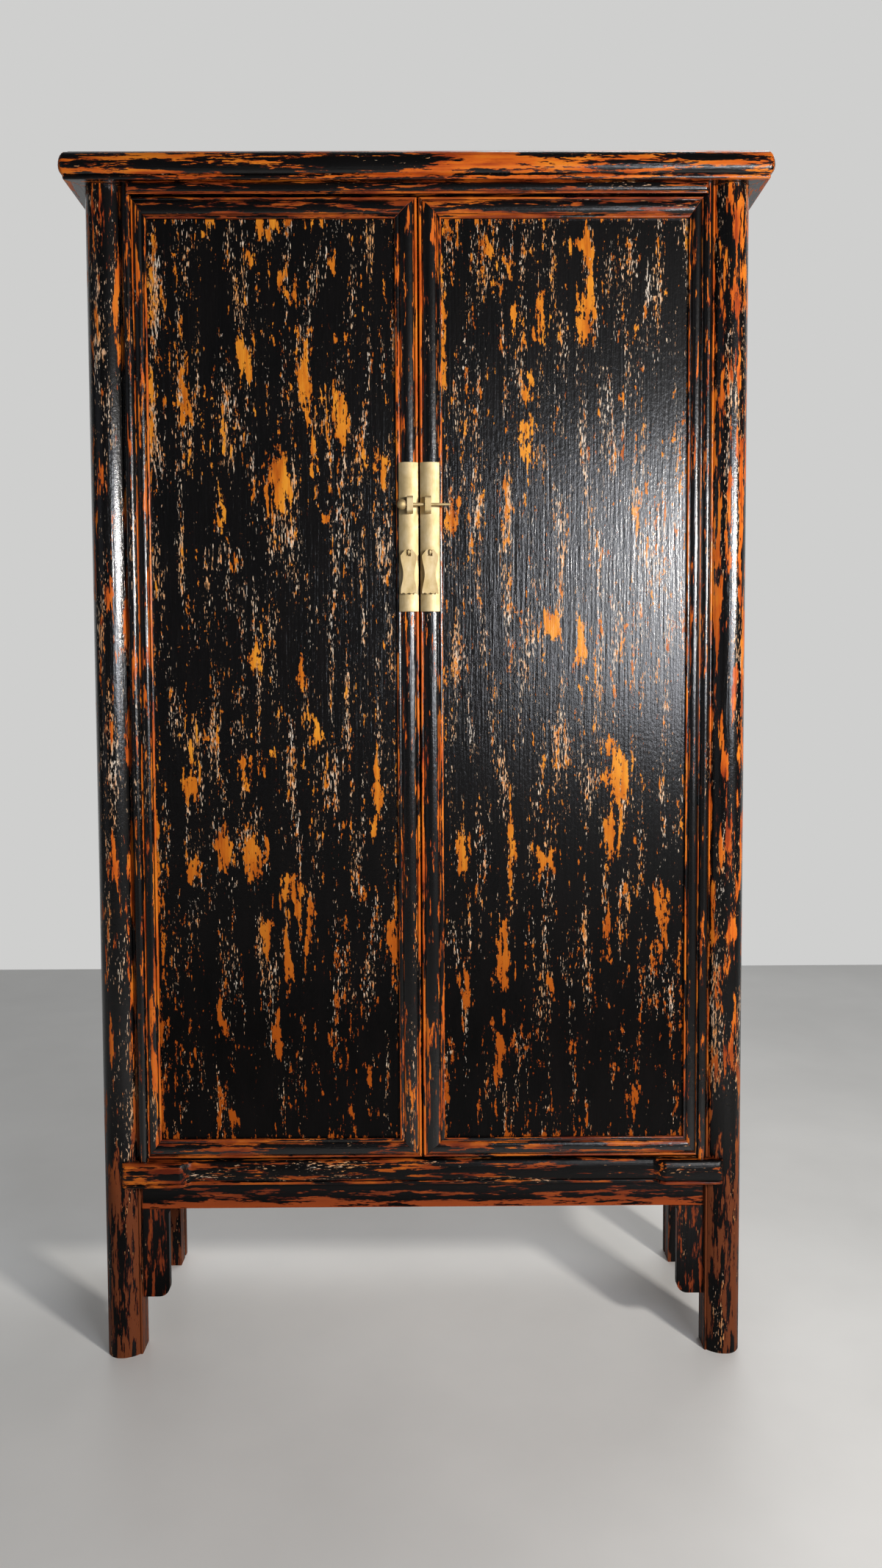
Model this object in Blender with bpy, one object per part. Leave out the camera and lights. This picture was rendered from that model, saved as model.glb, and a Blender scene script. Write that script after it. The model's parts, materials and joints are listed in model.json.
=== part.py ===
"""Tapered two-door cabinet with round posts, pole-hung doors and a pin lock.

The case is drawn square, in metres, with +Z up and the front towards -Y.
Every case and door piece is then leaned in by one splay rule, so the posts,
the doors and the door poles keep straight edges and the same gaps.
"""
import bmesh
import bpy
from math import asin, cos, degrees, pi, radians, sin
from mathutils import Matrix, Vector

for old in list(bpy.data.objects):
    bpy.data.objects.remove(old)

# Overall sizes
FOOT_WIDTH = 1.000
FOOT_DEPTH = 0.347
CAP_UNDERSIDE = 1.7765
SIDE_LEAN = 0.0115
FRONT_LEAN = 0.006

# Clearances
SEAT = 0.0003
POLE_PLAY = 0.0008
SOCKET_PLAY = 0.0005
DOOR_GAP = 0.0026

# Posts
POST_WIDTH = 0.0572
POST_DEPTH = 0.050
POST_CROWN = 0.0245
POST_ROUND_DEPTH = 0.030
POST_FACE_RADIUS = 0.040
POST_BACK_RADIUS = 0.008
POST_BEAD = 0.004
POST_BEAD_GROOVE = 0.0024
POST_BEAD_RISE = 0.0030

# Cap frame
CAP_SIDE_OVERHANG = 0.021
CAP_FRONT_OVERHANG = 0.011
CAP_HEIGHT = 0.041
CAP_RAIL_WIDTH = 0.075
CAP_BULGE = 0.0075
CAP_BULGE_HEIGHT = 0.019
CAP_LIP_HEIGHT = 0.0065
CAP_LIP_BEAD = 0.0015
CAP_LIP_ROUND = 0.0020
CAP_TOP_STEP = 0.0055
CAP_TOP_EDGE = 0.0012
CAP_PANEL_THICKNESS = 0.012
CAP_TONGUE_RISE = 0.0024
CAP_TONGUE_THICKNESS = 0.0048
CAP_BATTEN_WIDTH = 0.040
CAP_BATTEN_DEPTH = 0.018

# Rails between the posts
RAIL_DEPTH = 0.045
TOP_RAIL_HEIGHT = 0.0164
TOP_RAIL_PROUD = 0.0045
TOP_RAIL_NOSE = 0.0035
TOP_RAIL_BEAD = 0.0034
TOP_RAIL_BEAD_SINK = 0.0012
TOP_RAIL_LAP = 0.006
BASE_RAIL_TOP = 0.3145
BASE_RAIL_HEIGHT = 0.0375
BASE_RAIL_NOSE = 0.007
BASE_RAIL_BEAD = 0.0052
BASE_RAIL_BEAD_SINK = 0.0016
RAIL_QUIRK_ANGLE = 62
BASE_RAIL_BACK = 0.001
SIDE_RAIL_WIDTH = 0.040
SIDE_RAIL_INSET = 0.008
PAD_INNER = 0.0745
PAD_LAP = 0.024
PAD_PROUD = 0.010
PAD_RAMP = 0.010
PAD_END_RADIUS = 0.0085

# Aprons and spandrels
APRON_THICKNESS = 0.012
APRON_INSET = 0.020
APRON_HEIGHT = 0.0442
SPANDREL_WIDTH = 0.042
SIDE_SPANDREL_WIDTH = 0.032
SPANDREL_DROP = 0.143
SPANDREL_FILLET = 0.009
SPANDREL_CORNER = 0.017

# Panels, floor and shelves
PANEL_THICKNESS = 0.008
TONGUE = 0.007
SIDE_PANEL_INSET = 0.014
BACK_PANEL_INSET = 0.012
MUNTIN_WIDTH = 0.045
MUNTIN_THICKNESS = 0.022
BOARD_THICKNESS = 0.014
SHELF_HEIGHTS = (0.790, 1.275)
BEARER_WIDTH = 0.024
BEARER_HEIGHT = 0.030

# Doors
DOOR_FOOT_GAP = 0.0055
DOOR_HEAD_GAP = 0.0023
DOOR_SETBACK = 0.001
DOOR_THICKNESS = 0.028
DOOR_RAIL = 0.0295
MEETING_STILE = 0.0335
PIVOT_MOULDING = 0.0217
POLE_RADIUS = 0.0072
POLE_END_RADIUS = 0.0070
DOWEL_RADIUS = 0.0055
DOWEL_LENGTH = 0.013
POLE_OVERLAP = 0.006
POLE_ARC = (40, 330)
DOOR_PANEL_SINK = 0.009
DOOR_BATTEN_WIDTH = 0.038
DOOR_BATTEN_HEIGHTS = (0.700, 1.390)

# Moulding of the door frames, as shares of its width and as depths from the crown
BEAD_SHARE = 0.13
HOLLOW_SHARE = 0.02
INNER_BEAD_SHARE = 0.19
HOLLOW_DEPTH = 0.0045
BEAD_DEPTH = 0.0025
INNER_BEAD_DEPTH = 0.0032

# Brass
PLATE_WIDTH = 0.0297
PLATE_BOTTOM = 1.1587
PLATE_HEIGHT = 0.219
PLATE_CROWN = 0.0030
PLATE_EDGE = 0.0011
PLATE_FALL = 0.0041
PLATE_HOLLOW = 0.0022
PIN_RISE = 0.156
PULL_RISE = 0.087
LUG_WIDTH = 0.009
LUG_HEIGHT = 0.025
LUG_REACH = 0.013
LUG_OFFSET = 0.0135
LUG_CORNER = 0.005
PIN_STANDOFF = 0.0071
PIN_HOLE_RADIUS = 0.0033
PIN_HEAD_RADIUS = 0.0076
PIN_NECK_RADIUS = 0.0027
PIN_TIP_RADIUS = 0.0018
PIN_LENGTH = 0.0655
PULL_WIDTH = 0.025
PULL_WAIST = 0.0168
PULL_DROP = 0.0615
PULL_THICKNESS = 0.0022
PULL_BAR_RADIUS = 0.0011
PULL_HEAD = 0.0038
PULL_EAR = 0.0055
PULL_SHOULDER = 0.0050
PULL_WINDOW_WIDTH = 0.0062
PULL_WINDOW_DROP = 0.0060
PULL_WAVE = 0.0016
PULL_WAVES = 3
EYE_RADIUS = 0.0044
EYE_HOLE_RADIUS = 0.0021
EYE_WIDTH = 0.0036

# Facets on round work
ARC_STEPS = 14
BEAD_STEPS = 5
CORNER_STEPS = 6
POLE_STEPS = 22
ROUND_SIDES = 20
EYE_HOLE_SIDES = 12
SMOOTH_ANGLE = 35
WELD = 0.00001
DRAWING_SCALE = 1000.0

# Derived places of the square case
HALF_WIDTH = FOOT_WIDTH / 2
HALF_DEPTH = FOOT_DEPTH / 2
FRONT = -HALF_DEPTH
POST_INNER = HALF_WIDTH - POST_WIDTH
BASE_RAIL_BOTTOM = BASE_RAIL_TOP - BASE_RAIL_HEIGHT
TOP_RAIL_BOTTOM = CAP_UNDERSIDE - SEAT - TOP_RAIL_HEIGHT
DOOR_BOTTOM = BASE_RAIL_TOP + DOOR_FOOT_GAP
DOOR_TOP = TOP_RAIL_BOTTOM - DOOR_HEAD_GAP
APRON_BOTTOM = BASE_RAIL_BOTTOM - SEAT - APRON_HEIGHT
SPANDREL_BOTTOM = APRON_BOTTOM - SPANDREL_DROP
POLE_X = POST_INNER - POLE_PLAY - POLE_RADIUS
DOOR_FRONT = FRONT + DOOR_SETBACK
POLE_Y = DOOR_FRONT + POLE_RADIUS
MOULDING_START = POLE_X - POLE_RADIUS
PANEL_EDGE = MOULDING_START - PIVOT_MOULDING
MEETING_EDGE = DOOR_GAP / 2
PLATE_CENTRE = MEETING_EDGE + PLATE_WIDTH / 2
LUG_SEAT = DOOR_FRONT - SEAT - PLATE_CROWN - SEAT
PIN_HEIGHT = PLATE_BOTTOM + PIN_RISE
PULL_PIVOT_HEIGHT = PLATE_BOTTOM + PULL_RISE
PIN_Y = LUG_SEAT - PIN_STANDOFF
PULL_PIVOT_Y = LUG_SEAT - EYE_RADIUS
CAP_HALF_WIDTH = HALF_WIDTH - SIDE_LEAN + CAP_SIDE_OVERHANG
CAP_HALF_DEPTH = HALF_DEPTH - FRONT_LEAN + CAP_FRONT_OVERHANG

parts = bpy.data.collections.new("tapered_cabinet")
bpy.context.scene.collection.children.link(parts)
tools = bpy.data.collections.new("cutters")
bpy.context.scene.collection.children.link(tools)


def finish(name, colour, roughness, metallic=0.0):
    """A plain Principled material."""
    material = bpy.data.materials.new(name)
    material.use_nodes = True
    shader = material.node_tree.nodes["Principled BSDF"]
    shader.inputs["Base Color"].default_value = (*colour, 1.0)
    shader.inputs["Roughness"].default_value = roughness
    shader.inputs["Metallic"].default_value = metallic
    return material


LACQUER = finish("black_lacquer", (0.012, 0.009, 0.008), 0.30)
DOOR_LACQUER = finish("door_lacquer", (0.045, 0.018, 0.007), 0.30)
RAW_WOOD = finish("raw_elm", (0.26, 0.14, 0.065), 0.65)
BRASS = finish("old_brass", (0.60, 0.43, 0.19), 0.35, 1.0)


def splayed(point):
    """Lean a point of the square case in towards the middle, in step with its height."""
    rise = point.z / CAP_UNDERSIDE
    across = 1 - SIDE_LEAN / HALF_WIDTH * rise
    along = 1 - FRONT_LEAN / HALF_DEPTH * rise
    return Vector((point.x * across, point.y * along, point.z))


def arc(centre, radii, start, end, steps=ARC_STEPS):
    """Points on an ellipse about centre, from start to end in degrees."""
    turns = [radians(start + (end - start) * k / steps) for k in range(steps + 1)]
    return [(centre[0] + radii[0] * cos(t), centre[1] + radii[1] * sin(t)) for t in turns]


def circle(centre, radius, sides):
    """Points of a closed circle."""
    return arc(centre, (radius, radius), 0, 360, sides)[:-1]


def new_object(name, mesh, material):
    """Link a mesh as one named piece."""
    mesh.name = name
    obj = bpy.data.objects.new(name, mesh)
    parts.objects.link(obj)
    mesh.materials.clear()
    mesh.materials.append(material)
    mesh.shade_smooth()
    mesh.set_sharp_from_angle(angle=radians(SMOOTH_ANGLE))
    return obj


def unit_prism(name, outline, holes=(), levels=0):
    """A flat outline, as a filled 2D curve, drawn up one unit and welded into a mesh with plain ends."""
    curve = bpy.data.curves.new(name, "CURVE")
    curve.dimensions = "2D"
    curve.fill_mode = "BOTH"
    curve.extrude = 0.5
    for ring in (outline, *holes):
        spline = curve.splines.new("POLY")
        spline.points.add(len(ring) - 1)
        spline.use_cyclic_u = True
        for point, (a, b) in zip(spline.points, ring):
            point.co = (a * DRAWING_SCALE, b * DRAWING_SCALE, 0, 1)
    holder = bpy.data.objects.new(name, curve)
    tools.objects.link(holder)
    seen = holder.evaluated_get(bpy.context.evaluated_depsgraph_get())
    mesh = bpy.data.meshes.new_from_object(seen)
    bpy.data.objects.remove(holder)
    bm = bmesh.new()
    bm.from_mesh(mesh)
    bmesh.ops.remove_doubles(bm, verts=bm.verts, dist=WELD * DRAWING_SCALE)
    if levels:
        upright = [e for e in bm.edges if abs(e.verts[0].co.z - e.verts[1].co.z) > 0.5]
        bmesh.ops.subdivide_edges(bm, edges=upright, cuts=levels - 1, use_grid_fill=True)
        ends = [f for f in bm.faces if len({round(v.co.z, 6) for v in f.verts}) == 1]
        bmesh.ops.dissolve_faces(bm, faces=ends)
    bm.to_mesh(mesh)
    bm.free()
    return mesh


def face_outward(bm):
    """Turn all faces of a closed shape outward."""
    bmesh.ops.recalc_face_normals(bm, faces=bm.faces)
    if bm.calc_volume(signed=True) < 0:
        bmesh.ops.reverse_faces(bm, faces=bm.faces)


def shape_mesh(mesh, place, lean):
    """Put every drawing point where place(a, b, share of the run) says, faces outward."""
    bm = bmesh.new()
    bm.from_mesh(mesh)
    for vert in bm.verts:
        spot = place(vert.co.x / DRAWING_SCALE, vert.co.y / DRAWING_SCALE, vert.co.z + 0.5)
        vert.co = splayed(Vector(spot)) if lean else Vector(spot)
    face_outward(bm)
    bm.to_mesh(mesh)
    bm.free()


def piece(name, outline, place, material, holes=(), levels=0, lean=True):
    """A named piece from an outline and a rule that places its points."""
    mesh = unit_prism(name, outline, holes, levels)
    shape_mesh(mesh, place, lean)
    return new_object(name, mesh, material)


def board(name, low, high, material, lean=True):
    """A plain board between two corners."""
    mesh = bpy.data.meshes.new(name)
    bm = bmesh.new()
    bmesh.ops.create_cube(bm, size=1.0)
    for vert in bm.verts:
        spot = Vector([h if s > 0 else l for s, l, h in zip(vert.co, low, high)])
        vert.co = splayed(spot) if lean else spot
    bm.to_mesh(mesh)
    bm.free()
    return new_object(name, mesh, material)


def cylinder_tool(name, radius, bottom, top, x, y, lean=True):
    """An upright cylinder for a Boolean, leaned with the case."""
    mesh = bpy.data.meshes.new(name)
    bm = bmesh.new()
    bmesh.ops.create_cone(bm, cap_ends=True, segments=ROUND_SIDES, radius1=radius, radius2=radius,
                          depth=top - bottom,
                          matrix=Matrix.Translation((x, y, (top + bottom) / 2)))
    for vert in bm.verts:
        vert.co = splayed(vert.co) if lean else vert.co
    bm.to_mesh(mesh)
    bm.free()
    obj = bpy.data.objects.new(name, mesh)
    tools.objects.link(obj)
    obj.hide_render = True
    obj.display_type = "WIRE"
    return obj


def combine(obj, tool, operation):
    """Apply one Boolean and drop its tool."""
    boolean = obj.modifiers.new(operation.lower(), "BOOLEAN")
    boolean.operation = operation
    boolean.object = tool
    seen = obj.evaluated_get(bpy.context.evaluated_depsgraph_get())
    mesh = bpy.data.meshes.new_from_object(seen)
    obj.modifiers.clear()
    obj.data = mesh
    bpy.data.objects.remove(tool)


def joint_empty(name, place):
    """An empty on a joint's axis, which carries the pieces that move there."""
    empty = bpy.data.objects.new(name, None)
    empty.location = place
    parts.objects.link(empty)
    bpy.context.view_layer.update()
    return empty


def hang_on(empty, pieces):
    """Parent pieces to an empty without moving them."""
    for obj in pieces:
        obj.parent = empty
        obj.matrix_parent_inverse = empty.matrix_world.inverted()


def post_face():
    """Inner half of a front post's show face in plan, from its crown to its bead."""
    turn = degrees(asin((POST_WIDTH - POST_BEAD - POST_CROWN) / POST_FACE_RADIUS))
    return arc((POST_CROWN, POST_FACE_RADIUS), (POST_FACE_RADIUS, POST_FACE_RADIUS), 270, 270 + turn)


def post_outline(front):
    """Plan of a post: outer side at 0, show face at 0, round outside and square inside."""
    outline = arc((POST_CROWN, POST_ROUND_DEPTH), (POST_CROWN, POST_ROUND_DEPTH), 180, 270)
    if front:
        outline += post_face()[1:]
        bead_start, face_end = outline[-1]
        outline += arc((bead_start + POST_BEAD / 2, face_end + POST_BEAD_GROOVE),
                       (POST_BEAD / 2, POST_BEAD_RISE), 180, 360, BEAD_STEPS)
    else:
        near = BACK_PANEL_INSET - SEAT
        far = BACK_PANEL_INSET + PANEL_THICKNESS + SEAT
        floor = POST_WIDTH - TONGUE - SEAT
        outline += [(POST_WIDTH, 0), (POST_WIDTH, near), (floor, near), (floor, far), (POST_WIDTH, far)]
    near = SIDE_PANEL_INSET + PANEL_THICKNESS + SEAT
    far = SIDE_PANEL_INSET - SEAT
    floor = POST_DEPTH - TONGUE - SEAT
    outline += [(POST_WIDTH, POST_DEPTH), (near, POST_DEPTH), (near, floor), (far, floor), (far, POST_DEPTH)]
    outline += arc((POST_BACK_RADIUS, POST_DEPTH - POST_BACK_RADIUS),
                   (POST_BACK_RADIUS, POST_BACK_RADIUS), 90, 180, BEAD_STEPS)
    return outline


def make_posts():
    """Four posts, from the floor to the underside of the cap."""
    for end, toward in (("front", -1), ("rear", 1)):
        for side, hand in (("left", -1), ("right", 1)):
            def place(a, b, run, hand=hand, toward=toward):
                return hand * (HALF_WIDTH - a), toward * (HALF_DEPTH - b), run * (CAP_UNDERSIDE - SEAT)
            piece(f"{end}_{side}_post", post_outline(end == "front"), place, LACQUER)


def cap_outline():
    """Section of the cap frame: outward from the lip, and up from the underside."""
    shoulder = CAP_HEIGHT - CAP_TOP_EDGE
    panel_low = CAP_HEIGHT - SEAT - CAP_PANEL_THICKNESS
    inner = -CAP_RAIL_WIDTH
    outline = [(0, 0), (CAP_LIP_BEAD, CAP_LIP_ROUND), (CAP_LIP_BEAD, CAP_LIP_HEIGHT - CAP_LIP_ROUND)]
    low = arc((0, CAP_BULGE_HEIGHT), (CAP_BULGE, CAP_BULGE_HEIGHT - CAP_LIP_HEIGHT), -90, 0, CORNER_STEPS)
    high = arc((-CAP_TOP_STEP, CAP_BULGE_HEIGHT),
               (CAP_BULGE + CAP_TOP_STEP, shoulder - CAP_BULGE_HEIGHT), 0, 80, CORNER_STEPS)
    outline += low + high[1:]
    outline += [(-CAP_TOP_STEP, shoulder), (-CAP_TOP_STEP, CAP_HEIGHT)]
    groove_low = panel_low + CAP_TONGUE_RISE - SEAT
    groove_high = groove_low + CAP_TONGUE_THICKNESS + 2 * SEAT
    outline += [(inner, CAP_HEIGHT), (inner, groove_high), (inner + TONGUE + SEAT, groove_high),
                (inner + TONGUE + SEAT, groove_low), (inner, groove_low), (inner, 0)]
    return outline, groove_low + SEAT, groove_high - SEAT, panel_low


def make_cap():
    """Mitred cap frame with its edge moulding, a floating panel and a batten below it."""
    outline, tongue_low, tongue_high, panel_low = cap_outline()
    for side, toward in (("front", -1), ("rear", 1)):
        def place(a, b, run, toward=toward):
            reach = CAP_HALF_WIDTH + a - SEAT
            return (2 * run - 1) * reach, toward * (CAP_HALF_DEPTH + a), CAP_UNDERSIDE + b
        rail = piece(f"cap_{side}_rail", outline, place, LACQUER, lean=False)
        if side == "front":
            for hand in (-1, 1):
                spot = splayed(Vector((hand * POLE_X, POLE_Y, CAP_UNDERSIDE + DOWEL_LENGTH / 2)))
                tool = cylinder_tool("socket", DOWEL_RADIUS + SOCKET_PLAY, CAP_UNDERSIDE - DOWEL_LENGTH,
                                     CAP_UNDERSIDE + DOWEL_LENGTH + SEAT, spot.x, spot.y, lean=False)
                combine(rail, tool, "DIFFERENCE")
    for side, hand in (("left", -1), ("right", 1)):
        def place(a, b, run, hand=hand):
            reach = CAP_HALF_DEPTH + a - SEAT
            return hand * (CAP_HALF_WIDTH + a), (2 * run - 1) * reach, CAP_UNDERSIDE + b
        piece(f"cap_{side}_rail", outline, place, LACQUER, lean=False)
    span = CAP_HALF_WIDTH - CAP_RAIL_WIDTH
    reach = CAP_HALF_DEPTH - CAP_RAIL_WIDTH
    edge = [(SEAT, panel_low), (SEAT, tongue_low), (-TONGUE, tongue_low), (-TONGUE, tongue_high),
            (SEAT, tongue_high), (SEAT, CAP_HEIGHT - SEAT)]

    def panel_place(a, b, run):
        inset, height = edge[round(run * (len(edge) - 1))]
        return a * (span - inset), b * (reach - inset), CAP_UNDERSIDE + height
    square = [(-1, -1), (1, -1), (1, 1), (-1, 1)]
    piece("cap_panel", square, panel_place, LACQUER, levels=len(edge) - 1, lean=False)
    low = (-CAP_BATTEN_WIDTH / 2, -reach + SEAT, CAP_UNDERSIDE + panel_low - SEAT - CAP_BATTEN_DEPTH)
    high = (CAP_BATTEN_WIDTH / 2, reach - SEAT, CAP_UNDERSIDE + panel_low - SEAT)
    board("cap_batten", low, high, RAW_WOOD, lean=False)


def rail_profile(height, depth, bead, sink):
    """Front of a rail from its lower edge up, as fall and rise: a bead, a quirk and a half-round."""
    bite = sin(radians(RAIL_QUIRK_ANGLE))
    quirk = depth * (1 - cos(radians(RAIL_QUIRK_ANGLE)))
    crown = (bead + height * bite) / (1 + bite)
    low = arc((quirk, bead / 2), (sink - quirk, bead / 2), -90, 90, BEAD_STEPS)
    high = arc((depth, crown), (-depth, height - crown), -RAIL_QUIRK_ANGLE, 90, ARC_STEPS)
    return low + high[1:]


def mirrored(half):
    """A plan outline from its right half, given from the middle of the front to the middle of the back."""
    return half + [(-a, b) for a, b in reversed(half)]


def make_front_rails():
    """Rail under the cap, and the base rail whose end pads carry the door poles."""
    side = POST_INNER - SEAT
    pole_side = POLE_X - POLE_RADIUS - POLE_PLAY
    lap_end = pole_side + TOP_RAIL_LAP
    lap_back = DOOR_FRONT - FRONT - SEAT - POLE_PLAY
    tip = TOP_RAIL_PROUD + lap_back
    half = [(lap_end - tip, -TOP_RAIL_PROUD)]
    half += arc((lap_end - tip, lap_back), (tip, tip), 270, 360, CORNER_STEPS)[1:]
    half += [(pole_side, lap_back), (pole_side, RAIL_DEPTH)]
    top_front = rail_profile(TOP_RAIL_HEIGHT, TOP_RAIL_NOSE, TOP_RAIL_BEAD, TOP_RAIL_BEAD_SINK)

    def top_place(a, b, run):
        fall, rise = top_front[round(run * (len(top_front) - 1))]
        return a, FRONT + b + fall * max(0.0, (lap_back - b) / tip), TOP_RAIL_BOTTOM + rise
    piece("top_front_rail", mirrored(half), top_place, LACQUER, levels=len(top_front) - 1)

    pad_start = POST_INNER - PAD_INNER
    pad_end = POST_INNER + PAD_LAP
    pad_back = -SEAT
    pad_depth = PAD_PROUD + pad_back
    half = []
    for k in range(ARC_STEPS + 1):
        share = k / ARC_STEPS
        rise = (1 - cos(pi * share)) / 2
        half.append((pad_start + (share - 0.5) * 2 * PAD_RAMP,
                     BASE_RAIL_BACK - rise * (BASE_RAIL_BACK + PAD_PROUD)))
    half += arc((pad_end - PAD_END_RADIUS, pad_back), (PAD_END_RADIUS, pad_depth), 270, 360, CORNER_STEPS)
    face = post_face()
    bead_front = face[-1][1] + POST_BEAD_GROOVE - POST_BEAD_RISE
    for a, b in face:
        if HALF_WIDTH - a < pad_end:
            half.append((HALF_WIDTH - a, min(b - 2 * SEAT, bead_front - SEAT)))
    half += [(side, bead_front - SEAT), (side, RAIL_DEPTH)]
    base_front = rail_profile(BASE_RAIL_HEIGHT, BASE_RAIL_NOSE, BASE_RAIL_BEAD, BASE_RAIL_BEAD_SINK)

    def base_place(a, b, run):
        fall, rise = base_front[round(run * (len(base_front) - 1))]
        if b > BASE_RAIL_BACK + SEAT:
            fall = 0
        elif abs(a) > pad_start + PAD_RAMP:
            fall *= max(0.0, (pad_back - b) / pad_depth)
        return a, FRONT + b + fall, BASE_RAIL_BOTTOM + rise
    rail = piece("base_front_rail", mirrored(half), base_place, LACQUER, levels=len(base_front) - 1)
    for hand in (-1, 1):
        tool = cylinder_tool("socket", DOWEL_RADIUS + SOCKET_PLAY, BASE_RAIL_TOP - DOWEL_LENGTH - SEAT,
                             BASE_RAIL_TOP + DOWEL_LENGTH, hand * POLE_X, POLE_Y)
        combine(rail, tool, "DIFFERENCE")


def grooved_bar(width, height, groove_centre, groove_width, groove_up):
    """Section of a bar with a panel groove in its top, or in its bottom."""
    near = groove_centre - groove_width / 2
    far = groove_centre + groove_width / 2
    depth = TONGUE + SEAT
    if groove_up:
        return [(0, 0), (width, 0), (width, height), (far, height), (far, height - depth),
                (near, height - depth), (near, height), (0, height)]
    return [(0, 0), (near, 0), (near, depth), (far, depth), (far, 0),
            (width, 0), (width, height), (0, height)]


def make_side_and_rear_rails():
    """Base rails at the sides and rear and the rear top rail, grooved for their panels."""
    groove = PANEL_THICKNESS + 2 * SEAT
    side = POST_INNER - SEAT
    back_centre = BACK_PANEL_INSET + PANEL_THICKNESS / 2
    low_section = grooved_bar(RAIL_DEPTH, BASE_RAIL_HEIGHT, back_centre, groove, True)
    high_section = grooved_bar(RAIL_DEPTH, TOP_RAIL_HEIGHT, back_centre, groove, False)
    for name, section, bottom in (("base_rear_rail", low_section, BASE_RAIL_BOTTOM),
                                  ("top_rear_rail", high_section, TOP_RAIL_BOTTOM)):
        def place(a, b, run, bottom=bottom):
            return (2 * run - 1) * side, HALF_DEPTH - a, bottom + b
        piece(name, section, place, LACQUER)
    centre = SIDE_PANEL_INSET + PANEL_THICKNESS / 2 - SIDE_RAIL_INSET
    section = grooved_bar(SIDE_RAIL_WIDTH, BASE_RAIL_HEIGHT, centre, groove, True)
    reach = HALF_DEPTH - POST_DEPTH - SEAT
    for name, hand in (("left", -1), ("right", 1)):
        def place(a, b, run, hand=hand):
            return hand * (HALF_WIDTH - SIDE_RAIL_INSET - a), (2 * run - 1) * reach, BASE_RAIL_BOTTOM + b
        piece(f"base_{name}_rail", section, place, LACQUER)


def spandrel_outline(width):
    """Front view of a spandrel: along from the post, and up from its foot."""
    top = SPANDREL_DROP - SEAT
    fillet = SPANDREL_FILLET
    outline = [(0, 0)]
    corner = SPANDREL_CORNER
    outline += arc((width - corner, corner), (corner, corner), 270, 360, CORNER_STEPS)
    outline += arc((width + fillet, top - fillet), (fillet, fillet), 180, 90, CORNER_STEPS)
    outline += [(0, top)]
    return outline


def make_aprons():
    """Aprons under the base rails, with a spandrel beside each post at the front and the sides."""
    side = POST_INNER - SEAT
    near = FRONT + APRON_INSET
    board("front_apron", (-side, near, APRON_BOTTOM),
          (side, near + APRON_THICKNESS, APRON_BOTTOM + APRON_HEIGHT), LACQUER)
    reach = HALF_DEPTH - POST_DEPTH - SEAT
    for name, hand in (("left", -1), ("right", 1)):
        def front_place(a, b, run, hand=hand):
            return hand * (side - a), near + run * APRON_THICKNESS, SPANDREL_BOTTOM + b
        piece(f"front_{name}_spandrel", spandrel_outline(SPANDREL_WIDTH), front_place, LACQUER)
        outer = HALF_WIDTH - APRON_INSET
        edges = sorted((hand * outer, hand * (outer - APRON_THICKNESS)))
        board(f"{name}_apron", (edges[0], -reach, APRON_BOTTOM),
              (edges[1], reach, APRON_BOTTOM + APRON_HEIGHT), LACQUER)
        for end, toward in (("front", -1), ("rear", 1)):
            def side_place(a, b, run, toward=toward, edges=edges):
                return edges[0] + run * APRON_THICKNESS, toward * (reach - a), SPANDREL_BOTTOM + b
            piece(f"{name}_{end}_spandrel", spandrel_outline(SIDE_SPANDREL_WIDTH), side_place, LACQUER)


def make_case_panels():
    """Side panels, and the back: two panels either side of a muntin."""
    reach = HALF_DEPTH - POST_DEPTH + TONGUE
    for name, hand in (("left", -1), ("right", 1)):
        edges = sorted((hand * (HALF_WIDTH - SIDE_PANEL_INSET),
                        hand * (HALF_WIDTH - SIDE_PANEL_INSET - PANEL_THICKNESS)))
        board(f"{name}_side_panel", (edges[0], -reach, BASE_RAIL_TOP - TONGUE),
              (edges[1], reach, CAP_UNDERSIDE - SEAT), LACQUER)
    groove = PANEL_THICKNESS + 2 * SEAT
    back = HALF_DEPTH - BACK_PANEL_INSET - PANEL_THICKNESS / 2
    half = MUNTIN_WIDTH / 2
    deep = MUNTIN_THICKNESS / 2
    floor = half - TONGUE - SEAT
    right = [(half, -deep), (half, -groove / 2), (floor, -groove / 2), (floor, groove / 2),
             (half, groove / 2), (half, deep)]
    low = BASE_RAIL_TOP + SEAT
    high = TOP_RAIL_BOTTOM - SEAT

    def place(a, b, run):
        return a, back + b, low + run * (high - low)
    piece("back_muntin", mirrored(right), place, LACQUER)
    for name, hand in (("left", -1), ("right", 1)):
        edges = sorted((hand * (half - TONGUE), hand * (POST_INNER + TONGUE)))
        board(f"{name}_back_panel", (edges[0], back - PANEL_THICKNESS / 2, BASE_RAIL_TOP - TONGUE),
              (edges[1], back + PANEL_THICKNESS / 2, TOP_RAIL_BOTTOM + TONGUE), RAW_WOOD)


def notched_board(name, front, bottom):
    """A board between the side panels, cut round the posts, resting on what is below it."""
    wide = HALF_WIDTH - SIDE_PANEL_INSET - PANEL_THICKNESS - SEAT
    narrow = POST_INNER - SEAT
    near = -HALF_DEPTH + POST_DEPTH + SEAT
    far = HALF_DEPTH - POST_DEPTH - SEAT
    back = HALF_DEPTH - BACK_PANEL_INSET - PANEL_THICKNESS / 2 - MUNTIN_THICKNESS / 2 - SEAT
    half = [(wide, near), (wide, far), (narrow, far), (narrow, back)]
    if front < near:
        half = [(narrow, front), (narrow, near)] + half

    def place(a, b, run):
        return a, b, bottom + run * BOARD_THICKNESS
    piece(name, mirrored(half), place, RAW_WOOD)


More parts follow.
